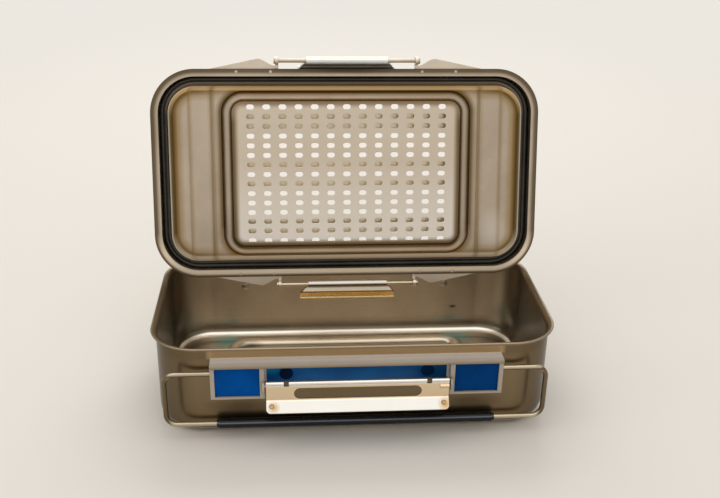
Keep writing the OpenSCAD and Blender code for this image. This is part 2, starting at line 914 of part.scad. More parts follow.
module guard_studs() {
    color(polished) parked()
    translate([0, 0, panel_rise + sheet])
        guard_stud_places() {
            cylinder(r = stud_radius, h = guard_gap);
            cylinder(r = stud_radius / 2, h = guard_gap + sheet + rivet_rise);
            translate([0, 0, sheet + guard_gap]) cylinder(r = stud_radius, h = rivet_rise);
        }
}

// keeper hanging from its pin, the hook turned toward the wall
module keeper_shape() {
    hook_low = keeper_length - hook_radius;
    neck = knuckle_radius - pin_radius;
    difference() {
        union() {
            along_x(knuckle_radius, -knuckle_half, knuckle_half);
            intersection() {
                out_extrude(-hook_half, hook_half) {
                    translate([-keeper_sheet / 2, -hook_low])
                        square([keeper_sheet, hook_low - pin_radius - neck / 2]);
                    translate([keeper_sheet / 2 - hook_radius, -hook_low])
                        mirror([0, 1]) quarter_band(hook_radius, keeper_sheet);
                    translate([keeper_sheet / 2 - hook_radius, -hook_low])
                        rotate(180) quarter_band(hook_radius, keeper_sheet);
                    translate([keeper_sheet / 2 - 2 * hook_radius, -hook_low])
                        square([keeper_sheet, hook_lip - hook_radius]);
                }
                rotate([90, 0, 0])
                    linear_extrude(4 * hook_radius, center = true)
                        polygon([[-knuckle_half, 0], [knuckle_half, 0], [hook_half, -hook_low + hook_radius],
                            [hook_half, -keeper_length], [-hook_half, -keeper_length],
                            [-hook_half, -hook_low + hook_radius]]);
            }
        }
        along_x(pin_radius + turn_gap, -hook_half, hook_half);
    }
}

module front_keeper() {
    color(polished)
        translate([0, park_y + pin_y * sin(lean) - pin_drop * cos(lean),
            park_z + pin_y * cos(lean) + pin_drop * sin(lean)])
            rotate([upper_swing, 0, 0]) keeper_shape();
}

module rear_keeper() {
    color(polished)
        translate([0, park_y - pin_y * sin(lean) - pin_drop * cos(lean),
            park_z - pin_y * cos(lean) + pin_drop * sin(lean)])
            rotate([lower_swing, 0, 0]) at_rear() keeper_shape();
}

tray_shell();
front_bracket();
rear_bracket();
front_left_tag();
front_right_tag();
rear_left_tag();
rear_right_tag();
front_centre_plate();
rear_centre_plate();
front_plate_studs();
rear_plate_studs();
front_rivets();
rear_rivets();
front_lever_pins();
rear_lever_pins();
front_handle_wire();
front_handle_grip();
rear_handle_wire();
rear_handle_grip();
front_lever();
rear_lever();
lid_panel();
lid_gasket();
front_keeper_bracket();
rear_keeper_bracket();
lid_rivets();
front_keeper_pin();
rear_keeper_pin();
vent_guard();
guard_studs();
front_keeper();
rear_keeper();
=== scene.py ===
import json
import math

import bmesh
import bpy
import numpy as np
from mathutils import Matrix, Vector


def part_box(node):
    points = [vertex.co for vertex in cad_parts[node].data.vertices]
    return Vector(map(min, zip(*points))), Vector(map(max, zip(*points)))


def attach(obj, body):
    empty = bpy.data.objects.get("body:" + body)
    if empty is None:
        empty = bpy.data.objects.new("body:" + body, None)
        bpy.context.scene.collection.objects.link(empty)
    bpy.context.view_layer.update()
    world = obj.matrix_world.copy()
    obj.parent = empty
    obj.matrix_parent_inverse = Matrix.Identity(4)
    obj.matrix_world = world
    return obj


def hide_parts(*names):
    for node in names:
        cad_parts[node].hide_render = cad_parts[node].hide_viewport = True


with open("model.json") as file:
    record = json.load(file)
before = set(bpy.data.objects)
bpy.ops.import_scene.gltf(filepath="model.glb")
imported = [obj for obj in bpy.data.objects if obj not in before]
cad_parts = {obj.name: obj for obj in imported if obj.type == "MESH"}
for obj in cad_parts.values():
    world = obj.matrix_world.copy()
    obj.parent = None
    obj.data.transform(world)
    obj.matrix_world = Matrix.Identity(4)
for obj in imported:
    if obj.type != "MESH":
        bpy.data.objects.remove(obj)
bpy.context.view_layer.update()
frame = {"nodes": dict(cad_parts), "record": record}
nodes = frame["nodes"]
print("frame loaded with", len(nodes), "CAD nodes")

# the lid lying flat, in metres, and how it leans on the rear corners of the tray's rim
lid = {"coreX": 0.1155, "coreY": 0.0465, "edge": 0.0805, "height": 0.0125, "sheet": 0.0012,
       "lean": math.radians(14.0), "dip": 0.005, "inset": 0.027}
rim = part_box("tray_shell")[1]
lid["parkY"] = (rim.y - lid["inset"] - lid["dip"] * math.tan(lid["lean"])
                + lid["edge"] * math.sin(lid["lean"]))
lid["parkZ"] = rim.z - lid["dip"] + lid["edge"] * math.cos(lid["lean"])
lid["turn"] = -(math.pi / 2 + lid["lean"])
sides = {"front": -1, "rear": 1}  # the long walls and the way each faces along Y


def parked(points):  # lid drawn flat, outer face up, then turned about X onto the rear corners
    c, s = math.cos(lid["turn"]), math.sin(lid["turn"])
    x, y, z = points[..., 0], points[..., 1], points[..., 2]
    return np.stack([x, y * c - z * s + lid["parkY"], y * s + z * c + lid["parkZ"]], axis=-1)


# surfaces
def meshFrom(name, points, faces):
    mesh = bpy.data.meshes.new(name)
    mesh.from_pydata(points.reshape(-1, 3).tolist(), [], faces.tolist())
    mesh.validate()
    mesh.polygons.foreach_set("use_smooth", np.ones(len(mesh.polygons), dtype=bool))
    mesh.update()
    piece = bpy.data.objects.new(name, mesh)
    bpy.context.scene.collection.objects.link(piece)
    return piece


def gridFaces(rows, columns, wrapRows=False, start=0):
    # quads of a grid whose columns close, and its rows where asked
    r = np.arange(rows if wrapRows else rows - 1)
    a, b = np.meshgrid(r, np.arange(columns), indexing="ij")
    up, right = (a + 1) % rows, (b + 1) % columns
    quads = np.stack([a * columns + b, a * columns + right, up * columns + right, up * columns + b], axis=-1)
    return quads.reshape(-1, 4) + start


def closeSeams(piece, hardAngle, join=1e-6, sliver=1e-7):
    # joins doubled points, turns faces outwards and keeps hard edges hard
    work = bmesh.new()
    work.from_mesh(piece.data)
    bmesh.ops.remove_doubles(work, verts=work.verts, dist=join)
    bmesh.ops.dissolve_degenerate(work, dist=sliver, edges=work.edges)
    bmesh.ops.recalc_face_normals(work, faces=work.faces)
    work.to_mesh(piece.data)
    work.free()
    piece.data.set_sharp_from_angle(angle=hardAngle)
    return piece


def turnedGroup(name, profile, places, steps=28, hardAngle=math.radians(38)):
    # a half profile (radius, height) spun round each place's level axis: p = o + h w + r (cos t u + sin t v)
    angle = np.linspace(0.0, 2.0 * math.pi, steps, endpoint=False)
    points, faces, start = [], [], 0
    for origin, axis in places:
        w = np.array(axis, dtype=float)
        u = np.cross(w, (0.0, 0.0, 1.0))
        v = np.cross(w, u)
        ring = np.cos(angle)[None, :, None] * u + np.sin(angle)[None, :, None] * v
        turned = np.asarray(origin) + profile[:, 1, None, None] * w + profile[:, 0, None, None] * ring
        points.append(turned.reshape(-1, 3))
        faces.append(gridFaces(len(profile), steps, start=start))
        start += len(profile) * steps
    return closeSeams(meshFrom(name, np.concatenate(points), np.concatenate(faces)), hardAngle)


def dome(radius, rise, skirt, base, steps=9):
    # cap profile: r = R cos t, h = base + skirt + (rise - skirt) sin t
    t = np.linspace(0.0, math.pi / 2, steps)
    cap = np.stack([radius * np.cos(t), base + skirt + (rise - skirt) * np.sin(t)], axis=1)
    return np.concatenate([[[radius, base]], cap])


def roundedLoops(coreX, coreY, offsets, steps=14):
    # a rounded rectangle for each offset: corner centre + offset (cos t, sin t), a quarter turn a corner
    quarter = np.linspace(0.0, math.pi / 2, steps)
    angle = np.concatenate([quarter + turn * math.pi / 2 for turn in range(4)])
    x = coreX * np.repeat([1, -1, -1, 1], steps) + offsets[:, None] * np.cos(angle)
    y = coreY * np.repeat([1, 1, -1, -1], steps) + offsets[:, None] * np.sin(angle)
    return x, y


# shader steps
black, white = (0, 0, 0, 1), (1, 1, 1, 1)
patterns = {"cloud": {"detail": 4.0, "rough": 0.55, "span": (0.32, 0.68)},
            "grain": {"detail": 3.0, "rough": 0.6, "span": (0.35, 0.65)},
            "scratch": {"detail": 2.0, "rough": 0.5, "span": (0.66, 0.72)},
            "blotch": {"detail": 3.0, "rough": 0.55, "scale": 2.3, "share": 0.5}}  # scale times the cloud's
shading = {"wearSpan": (0.78, 0.99), "cornerShadeSpan": (0.25, 0.85), "stainSpan": (0.2, 1.0), "bumpDepth": 0.0002,
           "bevelSamples": 6, "cornerShadeSamples": 8}


def opaque(color):
    return (*color, 1)


def grey(amount):
    return (amount, amount, amount, 1)


def newMaterial(name):
    material = bpy.data.materials.new(name)
    material.use_nodes = True
    tree = material.node_tree
    return material, tree, tree.nodes["Principled BSDF"]


def addNode(tree, kind, **sockets):
    node = tree.nodes.new(kind)
    for key, value in sockets.items():
        node.inputs[key.replace("_", " ")].default_value = value
    return node


def feed(tree, socket, value):  # links an output to a socket, or sets a plain value on it
    if isinstance(value, bpy.types.NodeSocket):
        tree.links.new(value, socket)
    else:
        socket.default_value = value


def mixColor(tree, factor, first, second):
    node = tree.nodes.new("ShaderNodeMix")
    node.data_type = "RGBA"
    feed(tree, node.inputs["Factor"], factor)
    feed(tree, node.inputs[6], first)  # the colour sockets A and B
    feed(tree, node.inputs[7], second)
    return node.outputs[2]


def spread(tree, source, low, high):  # maps 0..1 onto low..high
    node = addNode(tree, "ShaderNodeMapRange", To_Min=low, To_Max=high)
    tree.links.new(source, node.inputs["Value"])
    return node.outputs["Result"]


def curveRamp(tree, source, stops):  # colour ramp through (position, colour) stops
    node = tree.nodes.new("ShaderNodeValToRGB")
    points = node.color_ramp.elements
    while len(points) < len(stops):
        points.new(0.5)
    for point, (position, color) in zip(points, stops):
        point.position, point.color = position, color
    tree.links.new(source, node.inputs["Fac"])
    return node.outputs["Color"]


def ramp(tree, source, span, start=black, end=white):
    return curveRamp(tree, source, ((span[0], start), (span[1], end)))


def amountRamp(tree, source, stops):  # grey ramp through (metres, amount) stops
    low, high = stops[0][0], stops[-1][0]
    scaled = addNode(tree, "ShaderNodeMapRange", From_Min=low, From_Max=high)
    tree.links.new(source, scaled.inputs["Value"])
    shares = [((metres - low) / (high - low), grey(amount)) for metres, amount in stops]
    return curveRamp(tree, scaled.outputs["Result"], shares)


def vectorStep(tree, operation, first, second=None):
    node = tree.nodes.new("ShaderNodeVectorMath")
    node.operation = operation
    tree.links.new(first, node.inputs[0])
    if second is not None:
        feed(tree, node.inputs[1], second)
    return node.outputs["Value" if operation in ("LENGTH", "DOT_PRODUCT") else "Vector"]


def placed(tree, coordinate, **place):  # coordinates seen from a place with its own turn and size
    mapping = addNode(tree, "ShaderNodeMapping", **place)
    mapping.vector_type = "TEXTURE"
    tree.links.new(coordinate, mapping.inputs["Vector"])
    return mapping.outputs["Vector"]


def noise(tree, coordinate, scale, pattern, stretch=(1, 1, 1)):
    mapping = addNode(tree, "ShaderNodeMapping", Scale=stretch)
    tree.links.new(coordinate, mapping.inputs["Vector"])
    node = addNode(tree, "ShaderNodeTexNoise", Scale=scale, Detail=pattern["detail"],
                   Roughness=pattern["rough"])
    tree.links.new(mapping.outputs["Vector"], node.inputs["Vector"])
    return node.outputs["Fac"]


# layers of painted light and shade, and of marks: each has a colour and a place, with amounts at stops in
# metres
def along(axis, stops, mirrored=False):  # stretch along one axis, on both sides of zero where mirrored
    return {"axis": axis, "stops": stops, "mirrored": mirrored}


def band(color, stops, axis="Z", mirrored=False):
    return {"color": color, "run": along(axis, stops, mirrored)}


def line(loop, color, stops, run=None):  # stops are distances from a rounded rectangle, limited by a run
    return {"color": color, "loop": loop, "stops": stops, "run": run}


def stain(color, amount, at, size):  # soft elliptic patch
    return {"color": color, "amount": amount, "at": at, "size": size}


def runMask(tree, coordinate, run):
    split = tree.nodes.new("ShaderNodeSeparateXYZ")
    source = vectorStep(tree, "ABSOLUTE", coordinate) if run["mirrored"] else coordinate
    tree.links.new(source, split.inputs["Vector"])
    return amountRamp(tree, split.outputs[run["axis"]], run["stops"])


def lineMask(tree, flat, layer):  # distance = length of max(|p| - core, 0) in plan, less the corner radius
    core, radius = layer["loop"]["core"], layer["loop"]["radius"]
    reach = vectorStep(tree, "ABSOLUTE", vectorStep(tree, "MULTIPLY", flat, (1, 1, 0)))
    reach = vectorStep(tree, "MAXIMUM", vectorStep(tree, "SUBTRACT", reach, (*core, 0)), (0, 0, 0))
    distance = spread(tree, vectorStep(tree, "LENGTH", reach), -radius, 1.0 - radius)
    mask = amountRamp(tree, distance, layer["stops"])
    if layer["run"]:
        mask = mixColor(tree, runMask(tree, flat, layer["run"]), black, mask)
    return mask


def stainMask(tree, coordinate, layer):
    reach = vectorStep(tree, "LENGTH", placed(tree, coordinate, Location=layer["at"], Scale=layer["size"]))
    return ramp(tree, reach, shading["stainSpan"], grey(layer["amount"]), black)


def layeredColor(tree, coordinate, color, look):
    flat = coordinate  # lines on the leaning lid are measured on the lid lying flat
    if look["onLid"]:
        flat = placed(tree, coordinate, Location=(0, lid["parkY"], lid["parkZ"]),
                      Rotation=(lid["turn"], 0, 0))
    for layer in look["layers"]:
        if "at" in layer:
            mask = stainMask(tree, coordinate, layer)
        elif "loop" in layer:
            mask = lineMask(tree, flat, layer)
        else:
            mask = runMask(tree, coordinate, layer["run"])
        color = mixColor(tree, mask, color, opaque(layer["color"]))
    return color


def cloudedColor(tree, coordinate, grain, look):  # two tones, darkened by the grain, then scratched
    cloud = noise(tree, coordinate, look["cloud"], patterns["cloud"])
    tone = ramp(tree, cloud, patterns["cloud"]["span"])
    color = mixColor(tree, tone, opaque(look["dark"]), opaque(look["light"]))
    speckle = ramp(tree, grain, patterns["grain"]["span"], grey(1.0 - look["speck"]), white)
    color = mixColor(tree, speckle, black, color)
    scratches = noise(tree, coordinate, 1.0, patterns["scratch"], look["scratch"])
    marks = spread(tree, ramp(tree, scratches, patterns["scratch"]["span"]), 0.0, look["marks"])
    return mixColor(tree, marks, color, opaque(look["mark"]))


def wornColor(tree, color, rounded, look):  # edge colour where the rounded normal leaves the face's own
    face = tree.nodes.new("ShaderNodeNewGeometry").outputs["Normal"]
    edges = ramp(tree, vectorStep(tree, "DOT_PRODUCT", rounded, face), shading["wearSpan"], white, black)
    return mixColor(tree, spread(tree, edges, 0.0, look["wear"]), color, opaque(look["edge"]))


def paintedCornerShade(tree, color, look):  # painted shade in the corners, from ambient occlusion
    shade = addNode(tree, "ShaderNodeAmbientOcclusion", Distance=look["cornerShadeReach"])
    shade.samples = shading["cornerShadeSamples"]
    cornerShade = ramp(tree, shade.outputs["AO"], shading["cornerShadeSpan"], white, black)
    return mixColor(tree, spread(tree, cornerShade, 0.0, look["cornerShade"]), color, opaque(look["cornerShadeColor"]))


# a look has two tones and their cloud's scale, the grain's scale, stretch (brush) and darkening (speck), the
# scratches' amount, colour and stretch, worn edges, painted shade in the corners, a range of roughness, bump
# and layers; this one stands in where a look says nothing
plainLook = {"brush": (1, 1, 1), "bevel": 0.0004, "wear": 0.0, "cornerShade": 0.0, "onLid": False,
             "layers": [], "sockets": {}}


def finish(name, ownLook):  # one finish, with every pattern on Object coordinates
    look = {**plainLook, **ownLook}
    material, tree, shader = newMaterial(name)
    coordinate = tree.nodes.new("ShaderNodeTexCoord").outputs["Object"]
    grain = noise(tree, coordinate, look["grain"], patterns["grain"], look["brush"])
    bevel = addNode(tree, "ShaderNodeBevel", Radius=look["bevel"])
    bevel.samples = shading["bevelSamples"]
    rounded = bevel.outputs["Normal"]
    color = cloudedColor(tree, coordinate, grain, look)
    if look["wear"]:
        color = wornColor(tree, color, rounded, look)
    # painted shade in the corners
    if look["cornerShade"]:
        color = paintedCornerShade(tree, color, look)
    tree.links.new(layeredColor(tree, coordinate, color, look), shader.inputs["Base Color"])
    blotch = noise(tree, coordinate, look["cloud"] * patterns["blotch"]["scale"], patterns["blotch"])
    rough = mixColor(tree, patterns["blotch"]["share"], grain, blotch)
    tree.links.new(spread(tree, rough, *look["rough"]), shader.inputs["Roughness"])
    bump = addNode(tree, "ShaderNodeBump", Strength=look["bump"], Distance=shading["bumpDepth"])
    tree.links.new(grain, bump.inputs["Height"])
    tree.links.new(rounded, bump.inputs["Normal"])
    tree.links.new(bump.outputs["Normal"], shader.inputs["Normal"])
    shader.inputs["Metallic"].default_value = look["metal"]
    for key, value in look["sockets"].items():
        shader.inputs[key].default_value = value
    return material


finishes = {}  # by material slot
ownFinishes = {}  # by node, where one differs from its slot

# tray: warm drawn metal, with painted shade making it brown outside and dark at the ends; a loop is a
# rounded rectangle in plan
wallLoop = {"core": (0.109, 0.040), "radius": 0.0305}  # outer face of the walls
capLoop = {"core": (0.098, 0.066), "radius": 0.0}  # just inside the long walls, as wide as the bracket caps
trayLook = {
    "light": (0.75, 0.65, 0.51), "dark": (0.63, 0.535, 0.41), "cloud": 16,
    "grain": 900, "brush": (0.12, 1, 1), "speck": 0.06,
    "marks": 0.10, "mark": (0.55, 0.48, 0.38), "scratch": (30, 700, 700),
    "wear": 0.35, "edge": (0.66, 0.58, 0.46),
    "cornerShade": 0.45, "cornerShadeColor": (0.05, 0.035, 0.02), "cornerShadeReach": 0.005,
    "rough": (0.25, 0.41), "bump": 0.06, "metal": 1.0,
    "layers": [
        # painted shade: a darker outer face, and a darker stretch below the rim
        line(wallLoop, (0.168, 0.112, 0.049), ((-0.0008, 0.0), (-0.0004, 0.88), (0.004, 0.88))),
        line(wallLoop, (0.10, 0.065, 0.03), ((-0.0008, 0.0), (-0.0004, 1.0), (0.004, 1.0)),
             along("Z", ((0.058, 0.0), (0.063, 0.4), (0.067, 0.4), (0.069, 0.0)))),
        # top of the rim, then painted shade on both ends
        band((0.36, 0.29, 0.20), ((0.0675, 0.0), (0.0690, 0.9))),
        band((0.10, 0.075, 0.045), ((0.110, 0.0), (0.134, 0.88)), axis="X", mirrored=True),
        # painted shade above the floor fillet, a painted highlight in it, painted shade on the floor beside
        # it
        line(wallLoop, (0.10, 0.085, 0.06), ((-0.0050, 1.0), (-0.0010, 1.0), (-0.0006, 0.0)),
             along("Z", ((0.0049, 0.0), (0.0057, 0.85), (0.0076, 0.8), (0.0105, 0.4), (0.0170, 0.0)))),
        line(wallLoop, (1.0, 0.95, 0.86), ((-0.0068, 0.0), (-0.0058, 0.9), (-0.0042, 0.9), (-0.0036, 0.0))),
        line(wallLoop, (0.10, 0.085, 0.06),
             ((-0.0135, 0.0), (-0.0118, 0.5), (-0.0090, 0.65), (-0.0072, 0.65), (-0.0060, 0.0)),
             along("X", ((0.078, 1.0), (0.098, 0.0)), mirrored=True)),
        # pale strip of wall above the bracket caps
        line(capLoop, (0.47, 0.34, 0.19), ((0.0038, 0.0), (0.0042, 0.9), (0.0048, 0.9), (0.0070, 0.0)),
             along("Z", ((0.0612, 0.0), (0.0628, 1.0), (0.0675, 1.0), (0.0690, 0.4)))),
        # floor, and the top of the rim once more
        band((0.24, 0.215, 0.18), ((0.0014, 0.6), (0.0040, 0.0))),
        band((0.36, 0.29, 0.20), ((0.0675, 0.0), (0.0690, 0.4))),
        # teal marks and a dark one on the floor, a speck on the rear wall, painted shadow beside the latch
        stain((0.16, 0.50, 0.52), 0.8, at=(-0.097, 0.057, 0.003), size=(0.015, 0.010, 0.010)),
        stain((0.22, 0.55, 0.56), 0.8, at=(0.092, 0.057, 0.003), size=(0.018, 0.010, 0.010)),
        stain((0.05, 0.045, 0.04), 0.6, at=(-0.078, 0.050, 0.002), size=(0.012, 0.005, 0.004)),
        stain((0.03, 0.02, 0.01), 0.9, at=(0.0905, 0.0692, 0.0244), size=(0.004, 0.002, 0.0018)),
        stain((0.05, 0.035, 0.018), 0.6, at=(-0.0795, -0.0705, 0.0237), size=(0.027, 0.006, 0.0085)),
        stain((0.05, 0.035, 0.018), 0.6, at=(0.0795, -0.0705, 0.0237), size=(0.027, 0.006, 0.0085))]}
finishes["tray_metal"] = finish("trayMetal", trayLook)

# lid: paler metal with painted shade beside the beads and along the step; lying flat, its lower edge is at
# +Y
lidCore = (lid["coreX"], lid["coreY"])
fieldLoop = {"core": (0.082, 0.050), "radius": 0.003}  # perforated field
beadLoop = {"core": (0.0793, 0.0470), "radius": 0.013}  # crest of the bead frame
deepGroove = {"core": (0.0982, 0.0645), "radius": 0.005}  # grooves across the panel's ends
faintGroove = {"core": (0.1152, 0.0625), "radius": 0.005}
stepLoop = {"core": lidCore, "radius": 0.021}  # step down to the edge
edgeLoop = {"core": lidCore, "radius": lid["edge"] - lid["coreY"]}  # outer edge
sealLoop = {"core": lidCore, "radius": 0.02215}  # inner edge of the gasket
outerFlank = ((0.0008, 0.0), (0.0022, 0.5), (0.0036, 0.9), (0.0052, 0.85), (0.0066, 0.45), (0.0090, 0.0))
innerFlank = ((-0.0094, 0.0), (-0.0070, 0.45), (-0.0052, 0.85), (-0.0036, 0.9), (-0.0022, 0.5),
              (-0.0008, 0.0))
sideRuns = along("X", ((0.095, 0.45), (0.125, 1.0)), mirrored=True)
upperRun = along("Y", ((-0.062, 1.0), (-0.045, 0.0)))
lowerRun = along("Y", ((0.045, 0.0), (0.062, 1.0)))
beadShadeBrown, beadShadeGold = (0.115, 0.064, 0.010), (0.22, 0.12, 0.035)
lidLook = {
    "light": (0.55, 0.47, 0.375), "dark": (0.44, 0.365, 0.28), "cloud": 22,
    "grain": 1400, "speck": 0.10,
    "marks": 0.10, "mark": (0.62, 0.55, 0.45), "scratch": (500, 40, 500),
    "wear": 0.30, "edge": (0.66, 0.56, 0.42),
    "cornerShade": 0.70, "cornerShadeColor": (0.05, 0.034, 0.018), "cornerShadeReach": 0.007,
    "rough": (0.32, 0.48), "bump": 0.12, "metal": 1.0, "onLid": True,
    "layers": [
        # pale field, with painted light making it paler towards its lower edge
        line(fieldLoop, (0.68, 0.60, 0.50), ((-0.003, 0.75), (-0.001, 0.75), (0.001, 0.0))),
        line(fieldLoop, (0.86, 0.82, 0.77), ((-0.003, 0.7), (-0.001, 0.7), (0.001, 0.0)),
             along("Y", ((-0.010, 0.0), (0.050, 1.0)))),
        # painted shade on both flanks of the bead frame, lighter and golden where they face down
        line(beadLoop, beadShadeBrown, outerFlank, along("Y", ((0.040, 1.0), (0.058, 0.1)))),
        line(beadLoop, beadShadeGold, outerFlank, along("Y", ((0.040, 0.0), (0.058, 0.9)))),
        line(beadLoop, beadShadeBrown, innerFlank, along("Y", ((-0.058, 0.1), (-0.040, 1.0)))),
        line(beadLoop, beadShadeGold, innerFlank, along("Y", ((-0.058, 0.9), (-0.040, 0.0)))),
        # painted shade along the step, most of it on the short sides, and gold along the upper side
        line(stepLoop, (0.26, 0.14, 0.01),
             ((-0.0115, 0.0), (-0.0085, 0.4), (-0.0060, 0.7), (-0.0034, 0.7), (-0.0004, 0.0)), sideRuns),
        line(stepLoop, (0.07, 0.04, 0.005),
             ((-0.0070, 0.0), (-0.0052, 0.45), (-0.0034, 0.92), (-0.0016, 0.8), (-0.0004, 0.0)), sideRuns),
        line(stepLoop, (0.64, 0.43, 0.19),
             ((-0.0038, 0.0), (-0.0024, 0.7), (-0.0010, 0.7), (0.0004, 0.0)), upperRun),
        # dark outer edge, and painted light as pale lines along the lower side
        line(edgeLoop, (0.085, 0.055, 0.025), ((-0.0045, 0.0), (-0.0024, 0.8), (0.0005, 0.9))),
        line(edgeLoop, (0.86, 0.74, 0.57),
             ((-0.0060, 0.0), (-0.0047, 0.8), (-0.0028, 0.8), (-0.0012, 0.0)), lowerRun),
        line(stepLoop, (0.56, 0.46, 0.34),
             ((-0.0045, 0.0), (-0.0032, 0.75), (-0.0014, 0.75), (-0.0002, 0.0)), lowerRun),
        # painted shade as brown lines in the grooves
        line(deepGroove, (0.20, 0.12, 0.035),
             ((-0.0032, 0.0), (-0.0012, 0.5), (0.0004, 0.7), (0.0018, 0.25), (0.0040, 0.0))),
        line(faintGroove, (0.24, 0.145, 0.05),
             ((-0.0024, 0.0), (-0.0006, 0.45), (0.0006, 0.45), (0.0024, 0.0))),
        # painted light low on the right, painted shadow below the upper keeper
        stain((0.66, 0.62, 0.57), 0.45, at=(0.115, 0.056, 0.100), size=(0.012, 0.02, 0.020)),
        stain((0.05, 0.035, 0.015), 0.9, at=(0, 0.0840, 0.2222), size=(0.058, 0.02, 0.0034))]}
# the vent guard is a paler, more golden copy of the lid's metal, painted light against the shade behind the
# holes
guardLook = {**lidLook, "layers": [], "light": (0.93, 0.83, 0.64), "dark": (0.84, 0.74, 0.56), "cornerShade": 0.1}
finishes["lid_metal"] = finish("lidMetal", lidLook)
ownFinishes["vent_guard"] = finish("guardMetal", guardLook)

# brackets: dull metal, with painted light making them paler towards the wall, and brown at the rolled edge;
# the lid's wings are brighter
bracketLook = {
    "light": (0.47, 0.415, 0.35), "dark": (0.41, 0.36, 0.30), "cloud": 30,
    "grain": 1000, "brush": (0.10, 1, 1), "speck": 0.05,
    "marks": 0.12, "mark": (0.7, 0.66, 0.6), "scratch": (25, 800, 800),
    "wear": 0.5, "edge": (0.52, 0.47, 0.41),
    "cornerShade": 0.25, "cornerShadeColor": (0.06, 0.045, 0.03), "cornerShadeReach": 0.002,
    "rough": (0.42, 0.58), "bump": 0.10, "metal": 0.25, "sockets": {"Specular IOR Level": 0.35},
    "layers": [
        # painted light on the cap's top, strongest at the wall
        band((0.95, 0.89, 0.83),
             ((0.0713, 1.0), (0.0739, 0.53), (0.0764, 0.39), (0.0790, 0.12), (0.0805, 0.0)),
             axis="Y", mirrored=True),
        band((0.26, 0.195, 0.12), ((0.0806, 0.0), (0.0814, 0.75), (0.0826, 0.75), (0.0832, 0.0)),
             axis="Y", mirrored=True)]}
wingLook = {**bracketLook, "layers": [], "light": (0.72, 0.64, 0.53), "dark": (0.62, 0.54, 0.44),
            "rough": (0.30, 0.44), "metal": 1.0}
finishes["bracket_metal"] = finish("bracketMetal", bracketLook)
finishes["wing_metal"] = finish("wingMetal", wingLook)

# polished steel, and the levers, keepers, pins, wires and rivets made from it
polishedLook = {
    "light": (0.92, 0.90, 0.86), "dark": (0.84, 0.815, 0.77), "cloud": 45,
    "grain": 1600, "brush": (0.06, 1, 1), "speck": 0.03,
    "marks": 0.15, "mark": (0.62, 0.52, 0.36), "scratch": (25, 900, 900),
    "wear": 0.35, "edge": (0.66, 0.48, 0.24),
    "cornerShade": 0.35, "cornerShadeColor": (0.16, 0.10, 0.04), "cornerShadeReach": 0.003,
    "rough": (0.18, 0.32), "bump": 0.05, "bevel": 0.0005, "metal": 1.0}
leverLook = {
    **polishedLook,
    "layers": [
        # painted golden reflection on the face, the lip painted grey to dim its highlight, brown marks at
        # the lip's ends
        band((0.80, 0.60, 0.345), ((0.0360, 0.0), (0.0372, 0.8), (0.0470, 0.8), (0.0482, 0.0))),
        band((0.62, 0.605, 0.575), ((0.0360, 0.9), (0.0368, 0.0))),
        stain((0.46, 0.28, 0.09), 0.9, at=(-0.0575, -0.0885, 0.0335), size=(0.0048, 0.006, 0.0042)),
        stain((0.46, 0.28, 0.09), 0.9, at=(0.0600, -0.0885, 0.0335), size=(0.0060, 0.006, 0.007))]}
lowerKeeperLook = {
    **polishedLook, "light": (0.96, 0.95, 0.93), "dark": (0.90, 0.885, 0.86),
    "layers": [
        # painted light and shade on a paler copy of the polished steel, in bands from the top: grey that
        # dims the eye's highlight, dark shade and brown on the eye, a dark shade line, then a painted gold
        # reflection and brown on the hook
        band((0.50, 0.46, 0.42), ((0.0615, 0.0), (0.0628, 0.9))),
        band((0.06, 0.04, 0.015), ((0.0598, 0.0), (0.0604, 0.85), (0.0622, 0.85), (0.0628, 0.0))),
        band((0.44, 0.25, 0.08), ((0.0576, 0.0), (0.0584, 0.8), (0.0598, 0.8), (0.0604, 0.0))),
        band((0.06, 0.04, 0.015), ((0.0521, 0.0), (0.0527, 0.9), (0.0538, 0.9), (0.0545, 0.0))),
        band((1.0, 0.83, 0.50), ((0.0520, 0.95), (0.0526, 0.0))),
        band((0.48, 0.31, 0.11), ((0.0487, 0.8), (0.0494, 0.0)))]}
upperKeeperLook = {
    **polishedLook, "light": (0.78, 0.80, 0.82), "dark": (0.70, 0.72, 0.74),
    "layers": [
        # painted reflections: straw colour on top of the eye, bluish plate below it
        band((0.72, 0.66, 0.50), ((0.2310, 0.0), (0.2318, 0.8))),
        band((0.74, 0.79, 0.86), ((0.2282, 0.6), (0.2302, 0.0)))]}
# pins tinted gold as a painted reflection
pinLook = {**polishedLook, "light": (0.72, 0.52, 0.24), "dark": (0.55, 0.38, 0.15)}
wireLook = {
    **polishedLook, "light": (0.58, 0.50, 0.38), "dark": (0.46, 0.39, 0.28), "rough": (0.18, 0.30),
    "layers": [
        # painted shade on the underside of the top run and on the legs
        band((0.10, 0.065, 0.025), ((0.0510, 0.0), (0.0514, 0.8), (0.0527, 0.8), (0.0533, 0.0))),
        band((0.12, 0.08, 0.035), ((0.1275, 0.0), (0.1300, 0.85)), axis="X", mirrored=True)]}
rivetLook = {**polishedLook, "light": (0.60, 0.54, 0.45), "dark": (0.46, 0.40, 0.32), "rough": (0.20, 0.34)}
finishes["polished_steel"] = finish("polishedSteel", polishedLook)
finishes["wire_steel"] = finish("wireSteel", wireLook)
finishes["rivet_steel"] = finish("rivetSteel", rivetLook)
ownFinishes["front_keeper"] = finish("upperKeeperSteel", upperKeeperLook)
ownFinishes["rear_keeper"] = finish("lowerKeeperSteel", lowerKeeperLook)
for side in sides:
    ownFinishes[side + "_lever"] = finish(side + "LeverSteel", leverLook)
    ownFinishes[side + "_lever_pins"] = finish(side + "PinGoldReflection", pinLook)

